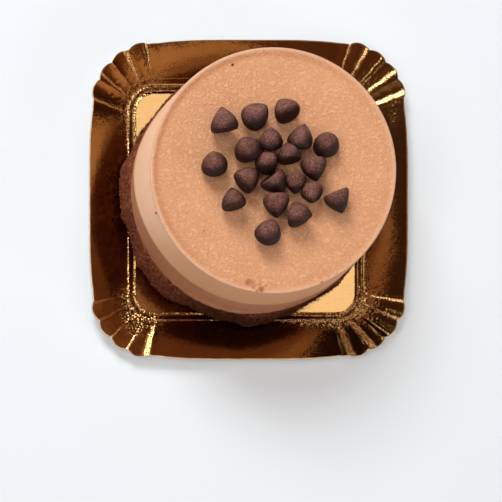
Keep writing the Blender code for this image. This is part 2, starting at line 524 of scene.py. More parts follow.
class GeometryRule:
    """A Geometry Nodes tree with named inputs, applied to an object and turned into a plain mesh."""

    title = "rule"
    inputs: dict[str, float | int] = {}

    def __init__(self) -> None:
        """Build the tree: its inputs, its own nodes, and the finish on what they make."""
        self.tree = bpy.data.node_groups.new(self.title, "GeometryNodeTree")
        self._socket("Geometry", Kind.SHAPE)
        self.sockets: dict[str, str] = {}
        for name, default in self.inputs.items():
            made = self._socket(name, Kind.COUNT if isinstance(default, int) else Kind.NUMBER)
            made.default_value = default
            self.sockets[name] = made.identifier
        self.sockets["Finish"] = self._socket("Finish", Kind.FINISH).identifier
        self._socket("Geometry", Kind.SHAPE, Store.OUT)
        self.make = NodeMaker(self.tree)
        self.given = self.make.add("NodeGroupInput")
        real = self.realize(self.shape(self.given.outputs["Geometry"]))
        sockets = {"Geometry": real, "Material": self.given.outputs["Finish"]}
        dressed = self.make.add("GeometryNodeSetMaterial", sockets)
        self.make.add("NodeGroupOutput", {"Geometry": dressed.outputs["Geometry"]})

    def _socket(self, name: str, kind: Kind, store: Store = Store.IN) -> Any:
        """Add a socket to the tree's interface and return it."""
        return self.tree.interface.new_socket(name, in_out=store.value, socket_type=kind.value)

    def read(self, name: str) -> Value:
        """Return one of the tree's named inputs."""
        return Value(self.make, self.given.outputs[name])

    def mark(self, name: str) -> Value:
        """Read a number that the mesh carries at each point."""
        return self.make.value("GeometryNodeInputNamedAttribute", {"Name": name}, data_type="FLOAT")

    def noise(self, size: Value, seed: Any, detail: float = 2.0) -> Value:
        """Add a noise pattern of a size in metres, about -0.5 to 0.5."""
        sockets = {"W": seed, "Scale": 1.0 / size, "Detail": detail}
        return self.make.value("ShaderNodeTexNoise", sockets, noise_dimensions="4D") - 0.5

    def realize(self, geometry: Socket) -> Socket:
        """Turn instances into plain geometry."""
        return self.make.add("GeometryNodeRealizeInstances", {"Geometry": geometry}).outputs["Geometry"]

    def move(self, geometry: Socket, offset: Any) -> Socket:
        """Move each point by an offset of its own."""
        sockets = {"Geometry": geometry, "Offset": offset}
        return self.make.add("GeometryNodeSetPosition", sockets).outputs["Geometry"]

    def shape(self, geometry: Socket) -> Socket:
        """Build the nodes that turn what comes in into what goes out; each rule has its own."""
        raise NotImplementedError

    def apply(self, obj: Piece, **values: Any) -> None:
        """Run the rule on an object and keep the result as its plain mesh.

        Args:
            obj: The object, whose mesh is replaced.
            **values: The named inputs, with _ for a space.
        """
        modifier = obj.modifiers.new(self.title, "NODES")
        modifier.node_group = self.tree
        for name, value in values.items():
            modifier[self.sockets[name.replace("_", " ").title()]] = value
        depsgraph = bpy.context.evaluated_depsgraph_get()
        shape = obj.evaluated_get(depsgraph)
        mesh = bpy.data.meshes.new_from_object(shape, preserve_all_data_layers=True, depsgraph=depsgraph)
        name = obj.data.name
        obj.modifiers.clear()
        old, obj.data = obj.data, mesh
        bpy.data.meshes.remove(old)
        mesh.name = name
        mesh.shade_smooth()


class GrainRule(GeometryRule):
    """Roughens a surface along its normals, as far as its "grain" mark says."""

    title = "surface_grain"
    inputs = {
        "Broad Size": 6 * MM,
        "Broad Depth": 0.1 * MM,
        "Fine Size": 1.5 * MM,
        "Fine Depth": 0.05 * MM,
        "Pore Size": 2.0 * MM,
        "Pore Depth": 0.0,
        "Seed": 1.0,
    }

    def shape(self, geometry: Socket) -> Socket:
        """Move each point in or out by two noises and the pores.

        Args:
            geometry: The smooth surface.

        Returns:
            The roughened surface.
        """
        read = self.read
        broad = self.noise(read("Broad Size"), read("Seed")) * read("Broad Depth")
        fine = self.noise(read("Fine Size"), read("Seed") + 7.0, 3.0) * read("Fine Depth")
        cells = self.make.value("ShaderNodeTexVoronoi", {"Scale": 1.0 / read("Pore Size")})
        pores = (0.45 - cells).math("MAXIMUM", 0.0) * read("Pore Depth")
        lift = (broad * 2.0 + fine * 2.0 - pores * 2.2) * self.mark("grain")
        normal = self.make.add("GeometryNodeInputNormal").outputs["Normal"]
        return self.move(geometry, self.make.vector("SCALE", normal, lift))


class CrumbRule(GeometryRule):
    """Scatters small uneven crumbs over a surface, as densely as its "crumbs" mark says."""

    title = "crumb_scatter"
    inputs = {"Density": 100000.0, "Smallest": 0.2 * MM, "Largest": 0.6 * MM, "Seed": 1}
    flattest: Triple = (0.6, 0.6, 0.45)
    fullest: Triple = (1.1, 1.1, 0.9)
    full_turn: Triple = (6.28, 6.28, 6.28)
    lump: float = 0.55 * MM
    lump_height: float = 0.5 * MM

    def random(self, low: Triple, high: Triple) -> Socket:
        """Draw a triple of numbers for each crumb."""
        sockets = {0: low, 1: high, "Seed": self.read("Seed")}
        return self.make.add("FunctionNodeRandomValue", sockets, data_type="FLOAT_VECTOR").outputs[0]

    def shape(self, geometry: Socket) -> Socket:
        """Put crumbs at random points, each with its own size and turn.

        Args:
            geometry: The surface that carries the crumbs.

        Returns:
            The crumbs alone.
        """
        make, seed = self.make, self.read("Seed")
        sockets = {"Mesh": geometry, "Density": self.read("Density") * self.mark("crumbs"), "Seed": seed}
        points = make.add("GeometryNodeDistributePointsOnFaces", sockets)
        crumb = make.add("GeometryNodeMeshIcoSphere", {"Radius": 1.0, "Subdivisions": 2})
        sizes = {2: self.read("Smallest"), 3: self.read("Largest"), "Seed": seed}
        size = make.value("FunctionNodeRandomValue", sizes, 1, data_type="FLOAT")
        sockets = {
            "Points": points.outputs["Points"],
            "Instance": crumb.outputs["Mesh"],
            "Rotation": self.random((0.0, 0.0, 0.0), self.full_turn),
            "Scale": make.vector("SCALE", self.random(self.flattest, self.fullest), size),
        }
        placed = make.add("GeometryNodeInstanceOnPoints", sockets).outputs["Instances"]
        lumps = make.add("ShaderNodeTexNoise", {"Scale": 1.0 / self.lump, "Detail": 1.0}).outputs["Color"]
        centred = make.vector("SUBTRACT", lumps, (0.5, 0.5, 0.5))
        return self.move(self.realize(placed), make.vector("SCALE", centred, self.lump_height))


# --- Meshes -----------------------------------------------------------------------------


def eased(value: Numbers, low: float, high: float) -> Numbers:
    """Ease from 0 at low to 1 at high, and stay there beyond."""
    share = np.clip((np.asarray(value, dtype=float) - low) / (high - low), 0.0, 1.0)
    return share * share * (3 - 2 * share)


def bell(away: Numbers, width: float, power: int = 2) -> Numbers:
    """Fall from 1 in the middle, to 1/e at a width away; a higher power falls more squarely."""
    return np.exp(-((away / width) ** power))


def apart(angle: Numbers, middle: float) -> Numbers:
    """The turn from a middle direction to others in degrees, -180 to 180."""
    return (angle - middle + 180) % 360 - 180


def even(stops: Steps) -> list[float]:
    """List numbers that rise to each stop in its number of even steps.

    Args:
        stops: Pairs of a number and how many steps lead up to it from the stop before.

    Returns:
        The numbers, from the first stop to the last.
    """
    numbers = [stops[0][0]]
    for stop, steps in stops[1:]:
        numbers += list(np.linspace(numbers[-1], stop, steps + 1)[1:])
    return numbers


def heading(angle: Numbers) -> tuple[Numbers, Numbers]:
    """The X and Y of directions in degrees."""
    return np.cos(np.radians(angle)), np.sin(np.radians(angle))


def ripple(x: Numbers, y: Numbers, wavelength: float, seed: int) -> np.ndarray:
    """Add waves of about one length running in random directions.

    Args:
        x: Places along X, in metres.
        y: Places along Y, in metres.
        wavelength: The waves' length, in metres.
        seed: The seed of their directions and phases.

    Returns:
        Their height at each place, about -1 to 1.
    """
    waves = 7
    draw = np.random.default_rng(seed)
    total = np.zeros(np.shape(x))
    for _ in range(waves):
        way, phase = draw.uniform(0, 2 * np.pi, 2)
        length = wavelength * draw.uniform(0.7, 1.5)
        total += np.sin(2 * np.pi * (x * np.cos(way) + y * np.sin(way)) / length + phase)
    return total / np.sqrt(waves) / 1.4


def make_mesh(name: str, points: np.ndarray, faces: Sequence[Sequence[int]],
              marks: dict[str, np.ndarray] | None = None) -> Mesh:
    """Make a mesh from points and faces.

    Args:
        name: The mesh's name.
        points: Its points, one row each, in metres.
        faces: The numbers of each face's points.
        marks: Numbers that the mesh carries at each point, by name.

    Returns:
        The mesh, shaded smooth.
    """
    mesh = bpy.data.meshes.new(name)
    mesh.from_pydata(points.tolist(), [], faces)
    for mark, values in (marks or {}).items():
        layer = mesh.attributes.new(mark, "FLOAT", "POINT")
        layer.data.foreach_set("value", np.ascontiguousarray(values, dtype=np.float32))
    mesh.shade_smooth()
    return mesh


def ring_faces(rows: int, columns: int) -> list[list[int]]:
    """Join rows of points that run round into a closed skin with flat caps.

    Args:
        rows: How many rings there are, from the top's middle out, down and under.
        columns: How many points each has, anticlockwise from above.

    Returns:
        The faces, facing outwards.
    """
    faces = []
    for start in range(0, (rows - 1) * columns, columns):
        for here in range(columns):
            after = (here + 1) % columns
            faces.append([start + here, start + columns + here, start + columns + after, start + after])
    faces.append(list(range(columns)))
    faces.append(list(range(rows * columns - 1, (rows - 1) * columns - 1, -1)))
    return faces


def add_piece(name: str, mesh: Mesh, *finishes: Finish) -> Piece:
    """Put a mesh into the scene as an object at the origin.

    Args:
        name: The object's name.
        mesh: Its mesh, already in place.
        *finishes: Its materials, if the mesh has none yet.

    Returns:
        The object.
    """
    obj = bpy.data.objects.new(name, mesh)
    for finish in finishes:
        mesh.materials.append(finish)
    bpy.context.scene.collection.objects.link(obj)
    return obj


def declare(obj: Piece, slot: str, *nodes: str) -> None:
    """Tell the frame what a piece rides on and what it replaces, and log it with its slot.

    Args:
        obj: The finished piece.
        slot: Its material slot, which is logged.
        *nodes: The CAD nodes that it replaces.
    """
    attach(obj, BODY)
    if nodes:
        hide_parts(*nodes)
    LOG.info("%s: %d faces, finish %s", obj.name, len(obj.data.polygons), slot)


# --- Tray -------------------------------------------------------------------------------


@dataclass
class Tray:
    """The gilt card tray: a flat floor inside a pressed groove, and a rim with pleated corners.

    Reaches are measured outwards from a square whose corners are the centres of the rounded
    corners, as in the solid. Shares run up the rim, from 0 at its fold to 1 at its edge.
    """

    card: float = 0.8 * MM
    corner_centre: float = 38.0 * MM
    groove_inner: float = 7.95 * MM
    groove_outer: float = 10.3 * MM
    groove_depth: float = 0.34 * MM
    groove_margin: float = 0.4 * MM
    bead: float = 0.13 * MM
    fold_reach: float = 11.3 * MM
    fold_blend: float = 0.07
    rim_reach: float = 27.2 * MM
    rim_rise: float = 5.0 * MM
    rim_sway: float = 0.2
    side_bow: float = 1.4 * MM
    flute_swing: float = 18.0
    scallop: float = 1.3 * MM
    bare_edge: float = 0.05 * MM
    torn_edge: float = 0.30 * MM
    torn_way: Pair = (-0.707, -0.707)
    torn_ripple: Waves = (5 * MM, 6)
    fan_setback: float = 5.9 * MM
    side_steps: int = 64
    corner_steps: int = 116
    # Where the rings of points lie: each reach or share, and how many steps lead up to it.
    floor_rings: Steps = ((1.0 * MM, 1), (4.0 * MM, 1), (6.2 * MM, 1), (7.2 * MM, 1))
    groove_steps: int = 14
    ledge_steps: int = 8
    rim_rings: Steps = ((0.0, 1), (0.24, 18), (1.0, 32))
    under: tuple[float, ...] = (1.0, 0.8, 0.55, 0.3, 0.12, 0.0)
    # The cut edge's rings in mm: how far out and how far down.
    cut_edge: tuple[Pair, ...] = ((0.0, 0.10), (-0.04, 0.35), (0.0, 0.72))
    # For each corner and each crease, anticlockwise: the pleat's slope (below 0 it faces
    # clockwise), its width, how far beside it a finer crease runs, and how far it is off its
    # even place, all three in degrees round the fan.
    pleats: tuple[tuple[tuple[float, float, float, float], ...], ...] = (
        ((0.21, 3.6, 3.2, 4.5), (0.29, 3.0, 2.8, 6.0), (0.27, 0.8, -3.6, 4.5), (0.26, 1.6, 2.4, 2.2),
         (0.36, 1.6, -2.4, 0.0)),
        ((0.33, 0.9, 2.8, 1.0), (0.26, 2.4, -3.0, 2.2), (0.18, 0.9, 2.6, 0.0), (0.30, 1.6, 2.6, -4.0),
         (0.33, 1.1, -2.4, 0.0)),
        ((-0.20, 1.2, 2.0, 1.0), (-0.25, 1.4, 2.2, 0.0), (-0.42, 1.2, 3.0, 0.0), (-0.48, 1.8, 3.0, 0.0),
         (-0.36, 4.0, -3.6, 0.0)),
        ((-0.37, 4.2, 3.4, 1.8), (-0.28, 4.0, -3.4, 3.6), (-0.18, 0.9, 2.6, 3.4), (-0.36, 0.9, 2.4, 1.5),
         (-0.32, 1.2, 2.6, 0.0)),
    )
    fine_crease: float = 0.6
    ridge: float = 0.105 * MM
    # Where looks change between a corner and the sides, in degrees from the diagonal.
    swell_edge: Pair = (30.0, 40.0)
    side_edge: Pair = (30.0, 45.0)
    corner_edge: Pair = (32.0, 46.0)
    loose_edge: Pair = (30.0, 52.0)
    # Low waves in the foil: their height, and those of the sides and of the corners.
    ripples: float = 0.05 * MM
    side_ripple: Waves = (17 * MM, 3)
    corner_ripple: Waves = (2.6 * MM, 8)
    # A broken crease near the fold: its height, its place and width as shares, and its breaks.
    hairline: float = 0.07 * MM
    hairline_place: float = 0.15
    hairline_width: float = 0.014
    hairline_ripple: Waves = (3.0 * MM, 12)
    # How crinkled the foil is: beside the fold and along the pleats at each corner, on the
    # sides, in the groove, and in single patches with a middle, half widths (mm) and strength.
    looseness: tuple[float, ...] = (0.35, 0.24, 0.60, 0.32)
    pleat_crinkle: tuple[float, ...] = (0.16, 0.30, 0.18, 0.15)
    side_crinkle: float = 0.06
    groove_crinkle: float = 0.20
    patches: tuple[tuple[float, float, float, float, float], ...] = (
        (61, 36, 4, 6, 0.16), (27, -50.5, 12, 1.5, 0.4), (-51, 24, 2, 16, 0.22), (50.5, -30, 1.5, 12, 0.2),
        (-50.5, -30, 2, 10, 0.3), (-50, -48, 2.5, 6, 0.6), (-46, -53.5, 3, 4.5, 0.45),
    )
    # Painted highlight: how much paler the pleats are painted.
    pleat_highlight: float = 0.8
    # Round the tray: where reaches start, the way out, the rim's reach and the nearest corner.
    starts: np.ndarray = field(init=False)
    outs: np.ndarray = field(init=False)
    reaches: np.ndarray = field(init=False)
    corners: np.ndarray = field(init=False)
    spread: float = field(init=False)

    def __post_init__(self) -> None:
        """Work out the stations round the tray, and the angle between two creases of a fan."""
        stations = []
        for quarter in range(4):
            out, across = np.array(heading(90 * quarter)), np.array(heading(90 * quarter + 90))
            for step in range(self.side_steps):
                along = 2 * step / self.side_steps - 1
                nearest = quarter if along >= 0 else (quarter - 1) % 4
                reach = self.rim_reach + self.side_bow * (1 - along**4)
                stations.append((*(out + across * along), *out, reach, nearest))
            for step in range(self.corner_steps):
                swing = 90 * step / self.corner_steps - 45
                reach = self.rim_reach + self.scallop * self.trough(swing)
                stations.append((*(out + across), *heading(90 * quarter + 45 + swing), reach, quarter))
        table = np.array(stations)
        self.starts, self.outs = table[:, :2] * self.corner_centre, table[:, 2:4]
        self.reaches, self.corners = table[:, 4], table[:, 5].astype(int)
        ahead, aside = (self.rim_reach * part for part in heading(self.flute_swing))
        self.spread = float(np.degrees(np.arctan2(aside, ahead + self.fan_setback)))

    def trough(self, swing: float) -> float:
        """How far into a scallop a swing from a corner's diagonal is, 0 at a crease."""
        inside = abs(swing) < 2 * self.flute_swing
        return abs(np.sin(np.pi * swing / self.flute_swing)) ** 0.8 if inside else 0.0

    def out(self, reach: Numbers) -> np.ndarray:
        """The ring of points at a reach, one or for every station."""
        return self.starts + self.outs * np.reshape(reach, (-1, 1))

    def fan(self, xy: np.ndarray) -> tuple[np.ndarray, np.ndarray]:
        """Place a ring of points in the fans of creases of their nearest corners.

        Args:
            xy: The points.

        Returns:
            The angle round the fan in degrees from the diagonal, and the distance from its middle.
        """
        turn = 45 + 90 * self.corners
        diagonal, across = np.column_stack(heading(turn)), np.column_stack(heading(turn + 90))
        away = xy - diagonal * (self.corner_centre * np.sqrt(2) - self.fan_setback)
        ahead, aside = (away * diagonal).sum(-1), (away * across).sum(-1)
        return np.degrees(np.arctan2(aside, ahead)), np.hypot(ahead, aside)

    def creases(self, corner: int) -> list[float]:
        """The directions of a corner's creases round its fan, in degrees."""
        return [(number - 2) * self.spread + pleat[3] for number, pleat in enumerate(self.pleats[corner])]

    def staircase(self, angle: np.ndarray, corner: int) -> np.ndarray:
        """The pleats across a corner's fan: steep, narrow steps with long, gentle treads between.

        Args:
            angle: Directions round the fan, in degrees.
            corner: The corner.

        Returns:
            The height as a share of the distance from the fan's middle.
        """
        height = np.zeros_like(angle)
        places = self.creases(corner)
        knots, falls, fallen = [places[0] - self.spread / 2], [0.0], 0.0
        for place, (slope, width, beside, _) in zip(places, self.pleats[corner]):
            steep = slope / (1 - (width + self.fine_crease) / self.spread)
            for at, wide in ((place, width), (place + beside, self.fine_crease)):
                height -= steep * np.radians(wide) * np.clip((angle - at) / wide + 0.5, 0, 1)
            fall = steep * np.radians(width + self.fine_crease)
            knots.append(place)
            falls.append(fallen + fall / 2)
            fallen += fall
        knots.append(places[-1] + self.spread / 2)
        falls.append(fallen)
        return height + np.interp(angle, knots, falls)

    def crooked(self, angle: np.ndarray, distance: np.ndarray, corner: int, share: float) -> np.ndarray:
        """Shift directions round the fan, so that its creases come out slightly crooked.

        Args:
            angle: The points' directions, in degrees.
            distance: Their distances from the fan's middle.
            corner: The corner.
            share: How far up the rim they are.

        Returns:
            The shifted directions.
        """
        crease = angle / self.spread + corner
        wobble = 0.5 * np.sin(distance / (2.6 * MM) + 1.7 * crease) * (1 - share)
        return angle - wobble - 0.22 * np.sin(distance / (0.9 * MM) + 2.3 * crease)

    def flute(self, angle: np.ndarray, distance: np.ndarray, share: float) -> np.ndarray:
        """The relief of the pleated corners.

        Args:
            angle: The points' directions round their fans, in degrees.
            distance: Their distances from the fans' middles.
            share: How far up the rim they are.

        Returns:
            The height above the plain rim.
        """
        height = np.zeros(len(angle))
        for corner in range(4):
            bent = self.crooked(angle, distance, corner, share)
            height += np.where(self.corners == corner, self.staircase(bent, corner) * distance, 0)
        swell = np.abs(np.sin(np.pi * angle / self.spread)) * (1 - eased(np.abs(angle), *self.swell_edge))
        return height * eased(share, 0.03, 0.3) - self.ridge * share * swell

    def rim_height(self, xy: np.ndarray, share: float) -> np.ndarray:
        """The rim's height above its fold, with its pleats and ripples.

        Args:
            xy: A ring of points on the rim.
            share: How far up the rim they are.

        Returns:
            The height at each point.
        """
        ease = self.fold_blend
        bent = share * share / (2 * ease) if share < ease else share - ease / 2
        lift = self.rim_rise * (1 + self.rim_sway * self.outs[:, 1]) * bent / (1 - ease / 2)
        angle, distance = self.fan(xy)
        lift = lift + self.flute(angle, distance, share)
        swing = np.abs(angle)
        lift += self.ripples * ripple(*xy.T, *self.side_ripple) * share * eased(swing, *self.side_edge)
        low = eased(share, 0.0, 0.1) * (1 - eased(share, 0.25, 0.75)) * (1 - eased(swing, *self.corner_edge))
        lift += self.ripples * ripple(*xy.T, *self.corner_ripple) * low
        broken = ripple(*xy.T, *self.hairline_ripple) > 0.1
        crease = bell(share - self.hairline_place, self.hairline_width) * broken
        return lift + self.hairline * crease * (xy[:, 0] < 0)

    def flat_height(self, reach: float) -> float:
        """The height of the floor, the groove and the ledge outside it.

        Args:
            reach: How far out the place is.

        Returns:
            The height.
        """
        if reach <= self.groove_inner:
            return self.card
        if reach < self.groove_outer:
            share = (reach - self.groove_inner) / (self.groove_outer - self.groove_inner)
            return self.card - self.groove_depth * float(np.sin(np.pi * share)) ** 1.3
        share = (reach - self.groove_outer) / (self.fold_reach - self.groove_outer)
        return self.card + self.bead * float(np.sin(np.pi * share))

    def marks(self, xy: np.ndarray, share: float, reach: float) -> dict[str, np.ndarray]:
        """How crinkled the foil is, where it has teeth, the place along a pleat, and how much paler it is
        painted: a painted brighter reflection on the floor, painted highlights on the pleats and crinkles.

        Args:
            xy: A ring of points.
            share: How far up the rim they are, below 0 on the floor.
            reach: Their reach on the floor, and 0 on the rim.

        Returns:
            The marks by name.
        """
        angle, distance = self.fan(xy)
        corner = 1 - eased(np.abs(angle), *self.loose_edge)
        band = bell(share - 0.04, 0.22) if share > 0 else max(0.0, 1 + share * 4)
        loose = np.array(self.looseness)[self.corners]
        crinkle = band * (corner * loose + self.side_crinkle * (1 - corner))
        teeth = np.zeros(len(xy))
        for quarter in range(4 if share > 0 else 0):
            bent = self.crooked(angle, distance, quarter, share)
            for place, pleat in zip(self.creases(quarter), self.pleats[quarter]):
                inside = np.where(self.corners == quarter, bell(bent - place, 0.75 * pleat[1], 4), 0)
                crinkle = crinkle + self.pleat_crinkle[quarter] * inside
                teeth = teeth + inside * eased(share, 0.05, 0.3)
        if self.groove_inner - 0.75 * self.groove_margin < reach <= self.fold_reach:
            crinkle = crinkle + self.groove_crinkle
        for x, y, wide, deep, strength in self.patches:
            crinkle = crinkle + strength * bell(xy[:, 0] / MM - x, wide) * bell(xy[:, 1] / MM - y, deep)
        crinkle = np.clip(crinkle, 0, 1.1) * (share > -0.24)
        # The floor is painted paler than the rim as a painted brighter reflection, and the pleats and
        # crinkles as painted highlights.
        floor = float(share <= 0 and reach < self.groove_inner)
        pale = np.clip(floor + self.pleat_highlight * teeth + crinkle, 0, 1)
        return {"crinkle": crinkle, "teeth": teeth, "along": distance / MM, "pale": pale}

    def build(self, foil: Finish, card: Finish) -> Piece:
        """Build the tray.

        Args:
            foil: The finish of its upper side.
            card: The finish of its edge and underside.

        Returns:
            The tray, with both finishes.
        """
        torn = eased(self.outs @ np.array(self.torn_way), -0.2, 0.7)
        ragged = 0.8 + 0.2 * ripple(*self.out(20 * MM).T, *self.torn_ripple)
        width = self.reaches - self.bare_edge - self.torn_edge * torn * ragged - self.fold_reach
        groove = (self.groove_inner - self.groove_margin, 1), (self.groove_outer, self.groove_steps)
        rings, marks = [], []
        for reach in even((*self.floor_rings, *groove, (self.fold_reach, self.ledge_steps))):
            xy = self.out(reach)
            rings.append(np.column_stack([xy, np.full(len(xy), self.flat_height(reach))]))
            share = (reach - self.fold_reach) / (self.rim_reach - self.fold_reach)
            marks.append(self.marks(xy, share, reach))
        for share in even(self.rim_rings)[1:]:
            xy = self.out(self.fold_reach + width * share)
            rings.append(np.column_stack([xy, self.card + self.rim_height(xy, share)]))
            marks.append(self.marks(xy, share, 0.0))
        bare_from = (len(rings) - 1) * len(self.starts)
        lip = self.card + self.rim_height(self.out(self.reaches), 1.0)
        for further, drop in self.cut_edge:
            rings.append(np.column_stack([self.out(self.reaches + further * MM), lip - drop * MM]))
        for share in self.under:
            xy = self.out(self.fold_reach + width * share)
            rings.append(np.column_stack([xy, np.maximum(self.rim_height(xy, share), 0)]))
        plain = np.zeros((len(rings) - len(marks)) * len(self.starts))
        table = {name: np.concatenate([*(ring[name] for ring in marks), plain]) for name in marks[0]}
        faces = ring_faces(len(rings), len(self.starts))
        mesh = make_mesh("tray_gilt_card", np.concatenate(rings), faces, table)
        tray = add_piece("tray_gilt_card", mesh, foil, card)
        bare = np.arange(len(faces)) >= bare_from
        bare[-2] = False  # the floor's cap
        tray.data.polygons.foreach_set("material_index", bare.astype(np.int32))
        declare(tray, "gilt_card", "tray")
        return tray


# --- Cake -------------------------------------------------------------------------------


@dataclass
class Cake:
    """The round cake: its place, its layers' heights and the line where the mousses meet."""

    radius: float = 50.0 * MM
    height: float = 45.0 * MM
    slump: float = 1.5 * MM
    lip_rise: float = 0.5 * MM
    pale_depth: float = 15.5 * MM
    flat_share: float = 0.4
    # Where the paler mousse sags: a direction, its half width, and how deep.
    swells: tuple[Triple, ...] = ((160, 33, 11.0 * MM), (312, 28, 4.5 * MM))
    # The sponge's side: how many waves round it, the direction of a crest, and their height.
    waves: tuple[tuple[int, float, float], ...] = (
        (7, 223, 1.0 * MM), (17, 40, 0.35 * MM), (31, 200, 0.25 * MM),
    )
    overhang: float = 0.7 * MM
    # Shares of the radius at which rings run across the meeting of the mousses, inside the cake.
    inside: tuple[float, ...] = (0.94, 0.8, 0.6, 0.4)
    steps: int = 540
    angles: np.ndarray = field(init=False)
    centre: Vector = field(init=False)
    top: float = field(init=False)
    sponge_top: float = field(init=False)

    def __post_init__(self) -> None:
        """Read the cake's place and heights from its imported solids."""
        low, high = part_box("lower_mousse")
        self.centre = Vector(((low.x + high.x) / 2, (low.y + high.y) / 2, 0))
        self.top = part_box("upper_mousse")[1].z - self.lip_rise
        self.sponge_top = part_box("sponge_base")[1].z
        self.angles = np.arange(self.steps) * 360.0 / self.steps

    def facing(self, way: float, low: float, high: float) -> np.ndarray:
        """Ease each direction from 0 to 1 by the cosine of its angle to a way in degrees."""
        return eased(np.cos(np.radians(self.angles - way)), low, high)

    def uneven(self, wavelength: float, seed: int) -> np.ndarray:
        """Add ripples up round the side, about -1 to 1."""
        x, y = heading(self.angles)
        return ripple(x * self.radius, y * self.radius, wavelength, seed)

    def side_radius(self, height: Numbers) -> Numbers:
        """The mousse's radius at a height."""
        return self.radius + self.slump * (self.top - height) / self.height

    def meeting(self, share: float = 1.0) -> np.ndarray:
        """The height where the mousses meet, in every direction.

        Args:
            share: The place as a share of the radius.

        Returns:
            The heights.
        """
        depth = sum(swell * bell(apart(self.angles, middle), width) for middle, width, swell in self.swells)
        slope = max(0.0, (share - self.flat_share) / (1 - self.flat_share)) ** 2
        return self.top - self.pale_depth - depth * slope

    def sponge_edge(self) -> np.ndarray:
        """How far the sponge's side stands out past the mousse, in every direction."""
        waves = [height * heading(count * (self.angles - crest))[0] for count, crest, height in self.waves]
        return self.overhang + sum(waves)

    def ring(self, radius: Numbers, height: Numbers) -> np.ndarray:
        """Make a ring of points about the cake's middle.

        Args:
            radius: Its radius, one or in every direction.
            height: Its height, one or in every direction.

        Returns:
            The points.
        """
        x, y = heading(self.angles)
        height = np.broadcast_to(height, x.shape)
        return np.column_stack([self.centre.x + radius * x, self.centre.y + radius * y, height])


@dataclass
class Layer:
    """A layer of the cake: rings of points with marks, skinned into one closed, roughened piece."""

    cake: Cake
    rings: list[np.ndarray] = field(default_factory=list, init=False)
    marks: list[dict[str, Numbers]] = field(default_factory=list, init=False)
    name: ClassVar[str]
    slot: ClassVar[str]
    node: ClassVar[str]
    texture: ClassVar[dict[str, float]]
    # Painted shade: the side is painted darker and warmer in colour towards this direction.
    painted_shade_way: ClassVar[float] = 262

    def stack(self) -> None:
        """Add the layer's rings, from its top out, down its side and in under it."""
        raise NotImplementedError

    def add(self, radius: Numbers, height: Numbers, **marks: Numbers) -> None:
        """Add a ring, with a number or an array for each of its marks; the others are 0."""
        self.rings.append(self.cake.ring(radius, height))
        self.marks.append({"warm": self.cake.facing(self.painted_shade_way, 0.40, 1.0), **marks})

    def mesh(self, name: str) -> Mesh:
        """Skin the rings.

        Args:
            name: The mesh's name.

        Returns:
            The closed mesh.
        """
        steps = self.cake.steps
        marks = {}
        for mark in dict.fromkeys(mark for ring in self.marks for mark in ring):
            values = [np.broadcast_to(ring.get(mark, 0.0), steps) for ring in self.marks]
            marks[mark] = np.concatenate(values)
        return make_mesh(name, np.concatenate(self.rings), ring_faces(len(self.rings), steps), marks)

    def build(self, finish: Finish, grain: GrainRule) -> Piece:
        """Build the layer.

        Args:
            finish: Its finish.
            grain: The rule that roughens its surface.

        Returns:
            The layer.
        """
        self.stack()
        piece = add_piece(self.name, self.mesh(self.name))
        grain.apply(piece, finish=finish, **self.texture)
        declare(piece, self.slot, self.node)
        return piece


@dataclass
class Crater:
    """A broken bubble or a dent: its direction in degrees, and in mm its inset, radius and depth."""

    angle: float
    inset: float
    radius: float
    depth: float
    stain: float


